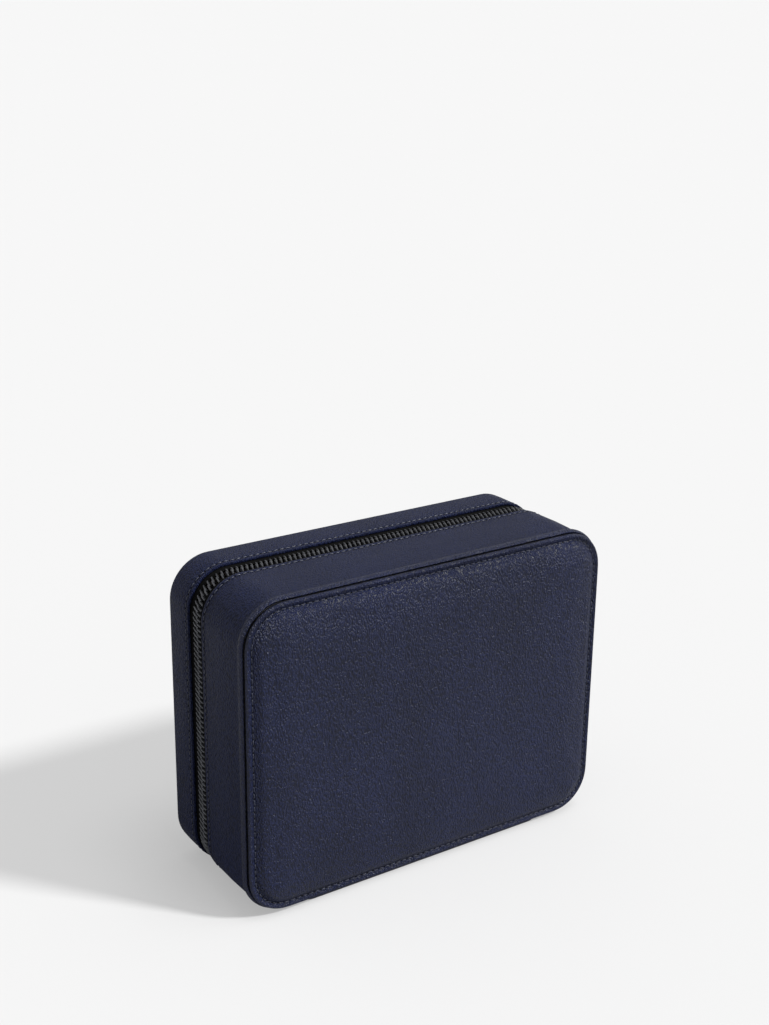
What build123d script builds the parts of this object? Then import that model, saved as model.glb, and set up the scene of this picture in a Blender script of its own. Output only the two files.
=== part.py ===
from build123d import *
from math import cos, pi, radians, sin
import os

os.makedirs("parts", exist_ok=True)

# Travel jewelry case that zips round three sides and stands upright on its spine.
# Millimetres. X is the width, the padded front faces -Y, Z is up, and the origin lies on
# the underside of the spine strip, under the middle of the case.

# --- Outer case ---------------------------------------------------------------------
case_width = 214.0          # X, over the side bands
case_height = 166.0         # Z, underside of the spine strip to the top of the bands
corner_radius = 22.0        # outer corners of the bands, seen from the front
front_depth = 41.1          # Y, deep front half, groove to zip gap
back_depth = 21.8           # Y, shallow back half, zip gap to back face
zip_gap = 13.9              # Y, between the two turned band edges

# --- Leather, boards and lining -----------------------------------------------------
leather = 1.6               # band leather
edge_roll = 1.0             # rounding of the turned band edges
back_roll = 3.0             # rounding where the back band turns over the back
back_turn = 8.0             # width of leather turned over the back face
back_recess = 0.4           # back panel lies this far behind the turned leather
fleece = 0.8                # soft layer between band leather and side board
board = 1.8                 # stiffening board
lining = 1.0                # microsuede glued inside the boards
layer_fit = 0.05            # glue line between two layers

# --- Padded front panel -------------------------------------------------------------
groove_width = 0.8          # open groove between panel lip and front band
lip_thickness = 2.0         # stitched lip round the panel
lip_width = 4.5             # lip, outer edge to the start of the puffed middle
panel_leather = 1.2
puff_height = 2.6           # puffed middle, above the lip
puff_slope = 60.0           # degrees, side of the puff from the Y direction

# --- Spine strip and hinge ----------------------------------------------------------
strip_end_gap = 32.0        # X, from each end of the strip to the side of the case
strip_thickness = 1.7
strip_glue = 0.3            # between the strip and the bands
strip_front_margin = 1.2    # strip stops this far behind the groove
strip_back_margin = 3.0     # and this far from the back
hinge_drop = 0.2            # fold line below the strip, so that the halves close up flat
hinge_lining_gap = 3.0      # X, from each end to the end of the zip tape
hinge_lining_thickness = 0.8
hinge_lining_fit = 0.4

# --- Zip ----------------------------------------------------------------------------
tape_thickness = 0.6
tape_lap = 7.0              # tape sewn in behind the band edge
tooth_pitch = 2.7
tooth_length = 1.1          # along the chain
tooth_reach = 1.0           # past the middle of the chain
tooth_root = 3.2            # from the middle of the chain back to the tape
tooth_height = 2.8          # through the chain
tooth_recess = 0.9          # teeth lie this far below the band surface
chain_cover = 9.0           # chain runs this far in under the spine strip
tape_cover = 13.0           # and the tape this far
slider_height = 48.0        # Z of the slider on the right side with the case closed
slider_length = 11.0        # Z
slider_width = 9.4          # Y
slider_plate = 1.1
slider_clearance = 0.35     # slider to teeth and to tape
slider_lip = 0.8            # width of the flange that holds the teeth in
post_length = 3.0           # wedge that joins the plates, beyond the last tooth
post_width = 3.0
bail_radius = 0.7
bail_height = 2.1           # bail bar above the outer plate
bail_span = 4.6             # Y, between the bail legs
bail_leg = 1.1
pull_fit = 0.25             # pull's eye round the bail bar
pull_length = 27.0
pull_width = 6.0
pull_thickness = 1.4
pull_neck = 3.4             # width of the pull between the bail legs

# --- Back half, inside --------------------------------------------------------------
pad_thickness = 4.0
pad_margin = 1.6            # necklace pad to lining
strap_count = 4
strap_spacing = 44.0
strap_width = 12.0
strap_length = 24.0
strap_thickness = 1.4
strap_drop = 23.65          # strap hinge below the top of the lining
strap_standoff = 1.8        # room for a chain between pad and strap
strap_root_length = 7.0
strap_root_gap = 1.1        # fold between strap and its sewn root
snap_radius = 5.0
snap_inset = 6.5            # snap centre from the free end of the strap
snap_cap = 1.3
snap_ring_radius = 3.4
snap_ring = 0.8
snap_ball_radius = 1.5
snap_hole_radius = 2.2
snap_base = 0.6
snap_ball_height = 0.9
pocket_top = 70.0
pocket_depth = 6.4          # clear room inside the chain pocket
pocket_sheet = 1.2
pocket_margin = 2.6         # pocket to lining at the sides and the bottom
elastic_height = 3.6
elastic_thickness = 2.4
elastic_gap = 0.3

# --- Front half, inside -------------------------------------------------------------
divider_height = 26.0       # Y, above the lining floor
divider_thickness = 2.4
divider_fit = 0.3
divider_x = 8.0             # long divider
left_divider_count = 2      # evenly spaced up the left side
right_divider_height = 70.0
roll_count = 5
roll_gap = 1.0
roll_height = 21.0
roll_round = 5.0
roll_margin = 1.0           # first roll above the right-hand divider
roll_top_gap = 9.0          # last roll below the lining
roll_finger_gap = 16.0      # X, beside the rolls
bar_width = 9.0             # earring bar
bar_thickness = 3.0
bar_height = 14.0           # bar face above the lining floor
bar_hole_radius = 0.8
bar_pairs = 5
bar_pair_pitch = 16.0
bar_pair_gap = 6.0
bar_leg_length = 4.0

# --- Places that follow from the sizes ----------------------------------------------
band_bottom = strip_thickness + strip_glue
band_height = case_height - band_bottom
middle_z = band_bottom + band_height / 2
depth = front_depth + zip_gap + back_depth
groove_y = -depth / 2
back_y = depth / 2
front_edge_y = groove_y + front_depth
back_edge_y = back_y - back_depth
zip_y = (front_edge_y + back_edge_y) / 2
side_x = case_width / 2
strip_end = side_x - strip_end_gap
chain_start = strip_end - chain_cover
tape_end = strip_end - tape_cover

fleece_inset = leather + layer_fit
board_inset = fleece_inset + fleece + layer_fit
lining_inset = board_inset + board + layer_fit
inside_inset = lining_inset + lining
tape_inset = leather + layer_fit
lining_edge = 0.4           # board and lining stop short of the turned band edge

front_board_y = groove_y + board
front_lining_y = front_board_y + layer_fit
front_floor_y = front_lining_y + lining
back_board_y = back_y - leather
back_lining_y = back_board_y - board - layer_fit
back_floor_y = back_lining_y - lining
front_inside_edge_y = front_edge_y - lining_edge
back_inside_edge_y = back_edge_y + lining_edge
inside_left = -side_x + inside_inset
inside_right = side_x - inside_inset
inside_bottom = band_bottom + inside_inset
inside_top = case_height - inside_inset


def upright(y, z=middle_z):
    """A plane at depth y that faces the front, with X across and its own Y up."""
    return Plane(origin=(0, y, z), x_dir=(1, 0, 0), z_dir=(0, -1, 0))


def outline(inset, mode=Mode.ADD):
    """The case outline seen from the front, set in all round."""
    RectangleRounded(
        case_width - 2 * inset, band_height - 2 * inset, corner_radius - inset, mode=mode
    )


def ring(outer, inner):
    """A closed strip of the case outline between two insets."""
    outline(outer)
    outline(inner, mode=Mode.SUBTRACT)


def finish(part, name):
    """Labels a finished piece and writes it to its own file."""
    part.label = name
    export_step(part, f"parts/{name}.step")


def chain_place(travel, inset):
    """Point and outward angle on the zip line, a distance along it from its hidden end.

    The line starts under the spine strip at -X and runs up the left side, over the top
    and down the right side. Its length is counted on the line through the teeth.
    """
    radius = corner_radius - inset
    left = -side_x + corner_radius
    right = side_x - corner_radius
    low = band_bottom + corner_radius
    high = case_height - corner_radius
    quarter = radius * pi / 2
    runs = [
        ("line", -left - chain_start, (-chain_start, band_bottom + inset), (-1, 0), -90),
        ("arc", quarter, (left, low), None, -90),
        ("line", high - low, (-side_x + inset, low), (0, 1), 180),
        ("arc", quarter, (left, high), None, 180),
        ("line", right - left, (left, case_height - inset), (1, 0), 90),
        ("arc", quarter, (right, high), None, 90),
        ("line", high - low, (side_x - inset, high), (0, -1), 0),
    ]
    for kind, length, start, way, angle in runs:
        if travel > length:
            travel -= length
            continue
        if kind == "line":
            return start[0] + way[0] * travel, start[1] + way[1] * travel, angle
        turned = radians(angle) - travel / radius
        x = start[0] + radius * cos(turned)
        z = start[1] + radius * sin(turned)
        return x, z, turned * 180 / pi
    raise ValueError("the chain is longer than its line")


# --- Front half: leather, boards, lining --------------------------------------------
with BuildPart() as front_panel:
    with BuildSketch(upright(groove_y)):
        outline(0)
    extrude(amount=lip_thickness)
    fillet(front_panel.faces().sort_by(Axis.Y)[0].outer_wire().edges(), radius=edge_roll)
    with BuildSketch(upright(groove_y - lip_thickness)):
        outline(lip_width)
    extrude(amount=puff_height, taper=puff_slope)
    with BuildSketch(upright(groove_y)):
        outline(lip_width + panel_leather)
    extrude(amount=lip_thickness + puff_height - panel_leather, taper=30, mode=Mode.SUBTRACT)
finish(front_panel.part, "front_panel")

with BuildPart() as front_foam:
    with BuildSketch(upright(groove_y)):
        outline(lip_width + panel_leather + layer_fit)
    extrude(amount=lip_thickness + puff_height - panel_leather - layer_fit, taper=30)
finish(front_foam.part, "front_foam")

with BuildPart() as front_board:
    with BuildSketch(upright(front_board_y)):
        outline(fleece_inset)
    extrude(amount=board)
finish(front_board.part, "front_board")

with BuildPart() as front_band:
    with BuildSketch(upright(front_edge_y)):
        ring(0, leather)
    extrude(amount=front_depth - groove_width)
    for rim in (0, -1):
        fillet(front_band.faces().sort_by(Axis.Y)[rim].outer_wire().edges(), radius=edge_roll)
finish(front_band.part, "front_band")

with BuildPart() as front_fleece:
    with BuildSketch(upright(front_edge_y - tape_lap - layer_fit)):
        ring(fleece_inset, fleece_inset + fleece)
    extrude(amount=front_edge_y - tape_lap - 2 * layer_fit - front_board_y)
finish(front_fleece.part, "front_fleece")

with BuildPart() as front_side_board:
    with BuildSketch(upright(front_inside_edge_y)):
        ring(board_inset, board_inset + board)
    extrude(amount=front_inside_edge_y - front_board_y)
finish(front_side_board.part, "front_side_board")

with BuildPart() as front_lining:
    with BuildSketch(upright(front_inside_edge_y)):
        outline(lining_inset)
    extrude(amount=front_inside_edge_y - front_lining_y)
    with BuildSketch(upright(front_inside_edge_y)):
        outline(inside_inset)
    extrude(amount=front_inside_edge_y - front_floor_y, mode=Mode.SUBTRACT)
finish(front_lining.part, "front_lining")

# --- Back half: leather, boards, lining ---------------------------------------------
with BuildPart() as back_band:
    with BuildSketch(upright(back_y)):
        outline(0)
    extrude(amount=back_depth)
    fillet(back_band.faces().sort_by(Axis.Y)[-1].outer_wire().edges(), radius=back_roll)
    fillet(back_band.faces().sort_by(Axis.Y)[0].outer_wire().edges(), radius=edge_roll)
    with BuildSketch(upright(back_board_y)):
        outline(leather)
    extrude(amount=back_depth - leather, mode=Mode.SUBTRACT)
    with BuildSketch(upright(back_y)):
        outline(back_turn)
    extrude(amount=leather, mode=Mode.SUBTRACT)
finish(back_band.part, "back_band")

with BuildPart() as back_panel:
    with BuildSketch(upright(back_y - back_recess)):
        outline(back_turn + layer_fit)
    extrude(amount=leather - back_recess - layer_fit)
finish(back_panel.part, "back_panel")

with BuildPart() as back_board:
    with BuildSketch(upright(back_board_y - layer_fit)):
        outline(fleece_inset)
    extrude(amount=board - layer_fit)
finish(back_board.part, "back_board")

with BuildPart() as back_fleece:
    with BuildSketch(upright(back_board_y - board - layer_fit)):
        ring(fleece_inset, fleece_inset + fleece)
    extrude(amount=back_board_y - board - back_edge_y - tape_lap - 2 * layer_fit)
finish(back_fleece.part, "back_fleece")

with BuildPart() as back_side_board:
    with BuildSketch(upright(back_board_y - board)):
        ring(board_inset, board_inset + board)
    extrude(amount=back_board_y - board - back_inside_edge_y)
finish(back_side_board.part, "back_side_board")

with BuildPart() as back_lining:
    with BuildSketch(upright(back_lining_y)):
        outline(lining_inset)
    extrude(amount=back_lining_y - back_inside_edge_y)
    with BuildSketch(upright(back_floor_y)):
        outline(inside_inset)
    extrude(amount=back_floor_y - back_inside_edge_y, mode=Mode.SUBTRACT)
finish(back_lining.part, "back_lining")

# --- Spine strip outside, hinge lining inside ---------------------------------------
with BuildPart() as spine_strip:
    with BuildSketch(Plane.XY):
        with Locations((0, (strip_front_margin - strip_back_margin) / 2)):
            Rectangle(2 * strip_end, depth - strip_front_margin - strip_back_margin)
    extrude(amount=strip_thickness)
    fillet(spine_strip.edges().filter_by(Axis.Z), radius=edge_roll)
finish(spine_strip.part, "spine_strip")

with BuildPart() as hinge_lining:
    with BuildSketch(Plane.XY.offset(band_bottom + tape_inset)):
        with Locations((0, zip_y)):
            Rectangle(2 * (tape_end - hinge_lining_gap), zip_gap - 2 * hinge_lining_fit)
    extrude(amount=hinge_lining_thickness)
finish(hinge_lining.part, "hinge_lining")

# --- Zip tape -----------------------------------------------------------------------
tape_sides = {
    "front_tape": (zip_y - tooth_root - layer_fit, front_edge_y - tape_lap),
    "back_tape": (back_edge_y + tape_lap, zip_y + tooth_root + layer_fit),
}
for name, (near_y, far_y) in tape_sides.items():
    with BuildPart() as tape:
        with BuildSketch(upright(near_y)):
            ring(tape_inset, tape_inset + tape_thickness)
            with Locations((0, -band_height / 2)):
                Rectangle(2 * tape_end, 2 * corner_radius, mode=Mode.SUBTRACT)
        extrude(amount=near_y - far_y)
    finish(tape.part, name)

# --- Zip teeth, each clamped on its tape --------------------------------------------
tooth_inset = tooth_recess + tooth_height / 2
chain_radius = corner_radius - tooth_inset
slider_bottom = slider_height - slider_length / 2
last_tooth_z = slider_bottom + post_length + 1.5 * tooth_pitch
chain_length = (
    (side_x - corner_radius - chain_start)
    + 3 * chain_radius * pi / 2
    + (band_height - 2 * corner_radius)
    + (case_width - 2 * corner_radius)
    + (case_height - corner_radius - last_tooth_z)
)
tooth_sides = {
    "front_teeth": (0.0, zip_y - (tooth_root - tooth_reach) / 2),
    "back_teeth": (0.5, zip_y + (tooth_root - tooth_reach) / 2),
}
for name, (phase, tooth_y) in tooth_sides.items():
    count = int(chain_length / tooth_pitch - phase) + 1
    places = []
    for number in range(count):
        x, z, angle = chain_place((number + phase) * tooth_pitch, tooth_inset)
        places.append(Location((x, tooth_y, z), (0, -angle, 0)))
    with BuildPart() as teeth:
        with Locations(*places):
            Box(tooth_height, tooth_root + tooth_reach, tooth_length)
    finish(teeth.part, name)

# --- Slider and pull on the right side ----------------------------------------------
teeth_outer_x = side_x - tooth_recess
teeth_inner_x = teeth_outer_x - tooth_height
outer_plate_x = teeth_outer_x + slider_clearance
inner_plate_x = teeth_inner_x - slider_clearance
tape_outer_x = side_x - tape_inset
tape_inner_x = tape_outer_x - tape_thickness
bail_x = outer_plate_x + slider_plate + bail_height
slider_face = Plane(
    origin=(outer_plate_x, zip_y, slider_height), x_dir=(0, 1, 0), z_dir=(1, 0, 0)
)
bail_section = upright(zip_y, 0)
with BuildPart() as slider:
    with BuildSketch(slider_face):
        RectangleRounded(slider_width, slider_length, slider_width / 4)
    extrude(amount=slider_plate)
    with BuildSketch(slider_face.offset(inner_plate_x - outer_plate_x)):
        RectangleRounded(slider_width, slider_length, slider_width / 4)
    extrude(amount=-slider_plate)
    with BuildSketch(slider_face):
        with Locations((0, -(slider_length - post_length) / 2)):
            RectangleRounded(post_width, post_length, post_length / 4)
    extrude(amount=inner_plate_x - outer_plate_x)
    lip_places = [(side * (slider_width - slider_lip) / 2, 0) for side in (-1, 1)]
    with BuildSketch(slider_face):
        with Locations(*lip_places):
            Rectangle(slider_lip, slider_length / 2)
    extrude(amount=tape_outer_x + slider_clearance - outer_plate_x)
    with BuildSketch(slider_face.offset(inner_plate_x - outer_plate_x)):
        with Locations(*lip_places):
            Rectangle(slider_lip, slider_length / 2)
    extrude(amount=tape_inner_x - slider_clearance - inner_plate_x)
    leg_places = [(side * (bail_span + bail_leg) / 2, 0) for side in (-1, 1)]
    with BuildSketch(slider_face.offset(slider_plate)):
        with Locations(*leg_places):
            Rectangle(bail_leg, 2.4 * bail_radius)
    extrude(amount=bail_height + bail_radius)
    with BuildSketch(bail_section):
        with Locations((bail_x, slider_height)):
            Circle(bail_radius)
    extrude(amount=(bail_span + bail_leg) / 2, both=True)
finish(slider.part, "slider")

eye_radius = bail_radius + pull_fit
with BuildPart() as pull:
    with BuildSketch(slider_face.offset(bail_x - outer_plate_x)):
        with Locations((0, -pull_neck)):
            Rectangle(pull_neck, 2 * pull_neck)
        with Locations((0, -(pull_length + pull_neck) / 2)):
            RectangleRounded(pull_width, pull_length - pull_neck, pull_width / 3)
    extrude(amount=pull_thickness / 2, both=True)
    with BuildSketch(bail_section):
        with Locations((bail_x, slider_height)):
            Circle(eye_radius + pull_thickness / 2)
            Circle(eye_radius, mode=Mode.SUBTRACT)
    extrude(amount=pull_neck / 2, both=True)
    with BuildSketch(bail_section):
        with Locations((bail_x, slider_height)):
            Circle(eye_radius)
    extrude(amount=pull_neck / 2, both=True, mode=Mode.SUBTRACT)
finish(pull.part, "pull")

# --- Necklace pad, snap straps and chain pocket in the back half ---------------------
pad_face_y = back_floor_y - pad_thickness
strap_back_y = pad_face_y - strap_standoff
strap_y = strap_back_y - strap_thickness / 2
strap_xs = [(number - (strap_count - 1) / 2) * strap_spacing for number in range(strap_count)]
strap_hinge_height = inside_top - strap_drop
snap_z = strap_hinge_height - strap_length + snap_inset

with BuildPart() as necklace_pad:
    with BuildSketch(upright(back_floor_y)):
        outline(inside_inset + pad_margin)
    extrude(amount=pad_thickness)
finish(necklace_pad.part, "necklace_pad")

with BuildPart() as strap_roots:
    with BuildSketch(upright(pad_face_y, strap_hinge_height + strap_root_gap)):
        with Locations(*[(x, strap_root_length / 2) for x in strap_xs]):
            Rectangle(strap_width, strap_root_length)
    extrude(amount=strap_standoff + strap_thickness)
finish(strap_roots.part, "strap_roots")

with BuildPart() as snap_studs:
    with BuildSketch(upright(pad_face_y, snap_z)):
        with Locations(*[(x, 0) for x in strap_xs]):
            Circle(snap_ring_radius)
    extrude(amount=snap_base)
    with BuildSketch(upright(pad_face_y - snap_base, snap_z)):
        with Locations(*[(x, 0) for x in strap_xs]):
            Circle(snap_ball_radius)
    extrude(amount=snap_ball_height)
finish(snap_studs.part, "snap_studs")

for number, strap_x in enumerate(strap_xs, 1):
    with BuildPart() as strap:
        with BuildSketch(upright(strap_back_y, strap_hinge_height)):
            with Locations((strap_x, -strap_length / 2)):
                Rectangle(strap_width, strap_length)
        extrude(amount=strap_thickness)
        fillet(strap.edges().filter_by(Axis.Y).group_by(Axis.Z)[0], radius=strap_width * 0.45)
    finish(strap.part, f"necklace_strap_{number}")
    with BuildPart() as snap:
        with BuildSketch(upright(strap_back_y - strap_thickness, snap_z)):
            with Locations((strap_x, 0)):
                Circle(snap_radius)
        extrude(amount=snap_cap)
        fillet(snap.faces().sort_by(Axis.Y)[0].edges(), radius=snap_cap / 2)
    finish(snap.part, f"snap_cap_{number}")
    with BuildPart() as socket:
        with BuildSketch(upright(strap_back_y, snap_z)):
            with Locations((strap_x, 0)):
                Circle(snap_ring_radius)
                Circle(snap_hole_radius, mode=Mode.SUBTRACT)
        extrude(amount=-snap_ring)
    finish(socket.part, f"snap_socket_{number}")

pocket_face_y = pad_face_y - pocket_depth - pocket_sheet
pocket_inset = inside_inset + pocket_margin
with BuildPart() as chain_pocket:
    with BuildSketch(upright(pad_face_y)):
        outline(pocket_inset)
        with Locations((0, pocket_top - middle_z + case_height / 2)):
            Rectangle(case_width, case_height, mode=Mode.SUBTRACT)
    extrude(amount=pocket_depth + pocket_sheet)
    with BuildSketch(upright(pad_face_y)):
        outline(pocket_inset + pocket_sheet)
    extrude(amount=pocket_depth, mode=Mode.SUBTRACT)
finish(chain_pocket.part, "chain_pocket")

with BuildPart() as pocket_elastic:
    with BuildSketch(upright(pad_face_y - pocket_depth, pocket_top)):
        with Locations((0, elastic_gap + elastic_height / 2)):
            Rectangle(case_width - 2 * pocket_inset, elastic_height)
    extrude(amount=elastic_thickness)
finish(pocket_elastic.part, "pocket_elastic")

# --- Dividers, ring rolls and earring bar in the front half --------------------------
divider_top_y = front_floor_y + divider_height
with BuildPart() as divider_long:
    with BuildSketch(upright(divider_top_y)):
        with Locations((divider_x, 0)):
            Rectangle(divider_thickness, inside_top - inside_bottom - 2 * divider_fit)
    extrude(amount=divider_height)
finish(divider_long.part, "divider_long")

left_span = divider_x - divider_thickness / 2 - inside_left - 2 * divider_fit
left_step = (inside_top - inside_bottom) / (left_divider_count + 1)
for number in range(1, left_divider_count + 1):
    with BuildPart() as divider:
        with BuildSketch(upright(divider_top_y, inside_bottom + number * left_step)):
            with Locations((inside_left + divider_fit + left_span / 2, 0)):
                Rectangle(left_span, divider_thickness)
        extrude(amount=divider_height)
    finish(divider.part, f"divider_left_{number}")

right_span = inside_right - divider_x - divider_thickness / 2 - 2 * divider_fit
with BuildPart() as divider_right:
    with BuildSketch(upright(divider_top_y, right_divider_height)):
        with Locations((inside_right - divider_fit - right_span / 2, 0)):
            Rectangle(right_span, divider_thickness)
    extrude(amount=divider_height)
finish(divider_right.part, "divider_right")

roll_length = right_span - roll_finger_gap
roll_x = divider_x + divider_thickness / 2 + divider_fit + roll_length / 2
rolls_bottom = right_divider_height + divider_thickness / 2 + roll_margin
roll_pitch = (inside_top - roll_top_gap + roll_gap - rolls_bottom) / roll_count
roll_thickness = roll_pitch - roll_gap
for number in range(roll_count):
    with BuildPart() as roll:
        roll_z = rolls_bottom + roll_thickness / 2 + number * roll_pitch
        with BuildSketch(upright(front_floor_y + roll_height, roll_z)):
            with Locations((roll_x, 0)):
                Rectangle(roll_length, roll_thickness)
        extrude(amount=roll_height)
        roll_top = roll.faces().sort_by(Axis.Y)[-1].edges().filter_by(Axis.X)
        fillet(roll_top, radius=min(roll_round, 0.45 * roll_thickness))
    finish(roll.part, f"ring_roll_{number + 1}")

bar_z = (inside_bottom + right_divider_height) / 2
with BuildPart() as earring_bar:
    bar_plane = upright(front_floor_y + bar_height, bar_z)
    bar_x = inside_right - divider_fit - right_span / 2
    with BuildSketch(bar_plane):
        with Locations((bar_x, 0)):
            Rectangle(right_span, bar_width)
            for pair in range(bar_pairs):
                pair_x = (pair - (bar_pairs - 1) / 2) * bar_pair_pitch
                with Locations((pair_x - bar_pair_gap / 2, 0), (pair_x + bar_pair_gap / 2, 0)):
                    Circle(bar_hole_radius, mode=Mode.SUBTRACT)
    extrude(amount=bar_thickness)
    with BuildSketch(bar_plane.offset(bar_thickness)):
        leg_x = (right_span - bar_leg_length) / 2
        with Locations((bar_x - leg_x, 0), (bar_x + leg_x, 0)):
            Rectangle(bar_leg_length, bar_width)
    extrude(amount=bar_height - bar_thickness)
finish(earring_bar.part, "earring_bar")
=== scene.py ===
import math
import random

import bmesh
import bpy
import numpy as np
from mathutils import Matrix, Vector


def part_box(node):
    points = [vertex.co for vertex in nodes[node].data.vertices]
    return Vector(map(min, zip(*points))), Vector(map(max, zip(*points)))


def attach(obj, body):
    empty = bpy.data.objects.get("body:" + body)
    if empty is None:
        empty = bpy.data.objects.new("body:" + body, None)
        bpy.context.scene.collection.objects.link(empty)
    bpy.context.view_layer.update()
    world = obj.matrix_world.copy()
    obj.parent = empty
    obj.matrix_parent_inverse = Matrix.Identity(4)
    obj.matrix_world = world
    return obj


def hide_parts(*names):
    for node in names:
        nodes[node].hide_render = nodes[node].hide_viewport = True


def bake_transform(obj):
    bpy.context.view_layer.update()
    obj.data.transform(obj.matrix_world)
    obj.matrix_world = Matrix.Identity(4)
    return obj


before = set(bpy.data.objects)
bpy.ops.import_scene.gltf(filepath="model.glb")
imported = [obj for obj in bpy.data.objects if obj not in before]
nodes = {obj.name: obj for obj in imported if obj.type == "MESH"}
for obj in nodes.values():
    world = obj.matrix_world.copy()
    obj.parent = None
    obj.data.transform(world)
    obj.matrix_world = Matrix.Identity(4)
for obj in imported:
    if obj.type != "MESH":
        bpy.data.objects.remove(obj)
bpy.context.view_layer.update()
mm = 0.001
touch = 0.01 * mm

# ---------------------------------------------------------------------------------------
# Studio: a camera on a tripod above the case, a soft key light from the front right and a
# wide one overhead, a pale surround, and a pale floor for the shadow. The floor is clear
# where the opened half hangs below it.
# ---------------------------------------------------------------------------------------
camera_turn, camera_tilt, camera_roll = -34.037, 19.214, 0.719
camera_place = (-408.34 * mm, -598.76 * mm, 433.94 * mm)
camera_data = bpy.data.cameras.new("camera")
camera_data.lens = 53.354
camera_data.sensor_width = 36.0
camera_data.clip_start = 0.01
camera = bpy.data.objects.new("camera", camera_data)
bpy.context.scene.collection.objects.link(camera)
turn, tilt = math.radians(camera_turn), math.radians(camera_tilt)
back = Vector((math.sin(turn) * math.cos(tilt), -math.cos(turn) * math.cos(tilt), math.sin(tilt)))
camera.rotation_mode = "QUATERNION"
camera.rotation_quaternion = (-back).to_track_quat("-Z", "Y") @ Matrix.Rotation(
    math.radians(camera_roll), 3, "Z"
).to_quaternion()
camera.location = camera_place
bpy.context.scene.camera = camera

scene = bpy.context.scene
scene.view_settings.view_transform = "Standard"
scene.view_settings.look = "None"


def fade(tree, value, span, levels):
    """A number that eases from the first level to the second as the value crosses a span."""
    node = tree.nodes.new("ShaderNodeMapRange")
    node.interpolation_type = "SMOOTHSTEP"
    sockets = ("From Min", "From Max", "To Min", "To Max")
    for socket, number in zip(sockets, (*span, *levels)):
        node.inputs[socket].default_value = number
    tree.links.new(value, node.inputs["Value"])
    return node.outputs["Result"]


backdrop_tone = 0.905
sky_tones = ((0.0, 0.62), (0.32, 0.76), (0.52, 0.30), (0.70, 0.30), (0.90, 0.60))
world = bpy.data.worlds.new("surround")
scene.world = world
world.use_nodes = True
sky = world.node_tree
sky_light = sky.nodes["Background"]
sky_place = sky.nodes.new("ShaderNodeTexCoord")
sky_height = sky.nodes.new("ShaderNodeSeparateXYZ")
sky.links.new(sky_place.outputs["Generated"], sky_height.inputs["Vector"])
sky_fall = sky.nodes.new("ShaderNodeValToRGB")
sky_fall.color_ramp.interpolation = "EASE"
for number, (height, tone) in enumerate(sky_tones):
    stops = sky_fall.color_ramp.elements
    stop = stops[number] if number < 2 else stops.new(height)
    stop.position = height
    stop.color = (tone, tone, tone, 1.0)
sky.links.new(sky_height.outputs["Z"], sky_fall.inputs["Fac"])
sky.links.new(sky_fall.outputs["Color"], sky_light.inputs["Color"])
sky_side = fade(sky, sky_height.outputs["X"], (-0.95, -0.10), (0.90, 1.0))
sky.links.new(sky_side, sky_light.inputs["Strength"])
sky_seen = sky.nodes.new("ShaderNodeBackground")
sky_seen.inputs["Color"].default_value = (1.0, 1.0, 1.0, 1.0)
sky_seen.inputs["Strength"].default_value = backdrop_tone
sky_path = sky.nodes.new("ShaderNodeLightPath")
sky_mix = sky.nodes.new("ShaderNodeMixShader")
sky.links.new(sky_path.outputs["Is Camera Ray"], sky_mix.inputs["Fac"])
sky.links.new(sky_light.outputs["Background"], sky_mix.inputs[1])
sky.links.new(sky_seen.outputs["Background"], sky_mix.inputs[2])
sky.links.new(sky_mix.outputs["Shader"], sky.nodes["World Output"].inputs["Surface"])


def sun(name, way, share, spread):
    """A sun that shines from a direction and gives the floor a share of full light."""
    data = bpy.data.lights.new(name, "SUN")
    data.energy = share * math.pi / way.normalized().z
    data.angle = math.radians(spread)
    light = bpy.data.objects.new(name, data)
    scene.collection.objects.link(light)
    light.rotation_mode = "QUATERNION"
    light.rotation_quaternion = way.to_track_quat("Z", "Y")


sun("key", Vector((0.491, -0.578, 0.651)), share=0.74, spread=7.0)
sun("top", Vector((0.14, -0.22, 0.96)), share=0.24, spread=24.0)


def finish_mode():
    """Back to object mode with nothing selected."""
    if bpy.context.object is not None and bpy.context.object.mode != "OBJECT":
        bpy.ops.object.mode_set(mode="OBJECT")
    bpy.ops.object.select_all(action="DESELECT")


def pick(piece, kind, test):
    """Opens the piece for editing with only the parts that pass the test selected.

    kind is FACE, EDGE or VERT; the test gets the middle, and the normal or direction.
    """
    if piece.mode != "EDIT":
        finish_mode()
        bpy.context.view_layer.objects.active = piece
        piece.select_set(True)
        bpy.ops.object.mode_set(mode="EDIT")
    bpy.ops.mesh.select_mode(type=kind)
    bpy.ops.mesh.select_all(action="DESELECT")
    body = bmesh.from_edit_mesh(piece.data)
    if kind == "FACE":
        for face in body.faces:
            face.select_set(bool(test(face.calc_center_median(), face.normal)))
    elif kind == "EDGE":
        for edge in body.edges:
            start, end = edge.verts[0].co, edge.verts[1].co
            way = (end - start).normalized()
            edge.select_set(bool(test((start + end) / 2, way)))
    else:
        for vert in body.verts:
            vert.select_set(bool(test(vert.co, vert.normal)))
    body.select_flush_mode()
    bmesh.update_edit_mesh(piece.data)


def cut(piece, place, way, **options):
    """Cuts a loop round a piece where a plane crosses it."""
    pick(piece, "FACE", lambda middle, normal: True)
    bpy.ops.mesh.bisect(plane_co=place, plane_no=way, **options)


def new_finish(name):
    """An empty principled finish: the material, its node tree and its shader."""
    material = bpy.data.materials.new(name)
    material.use_nodes = True
    return material, material.node_tree, material.node_tree.nodes["Principled BSDF"]


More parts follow.
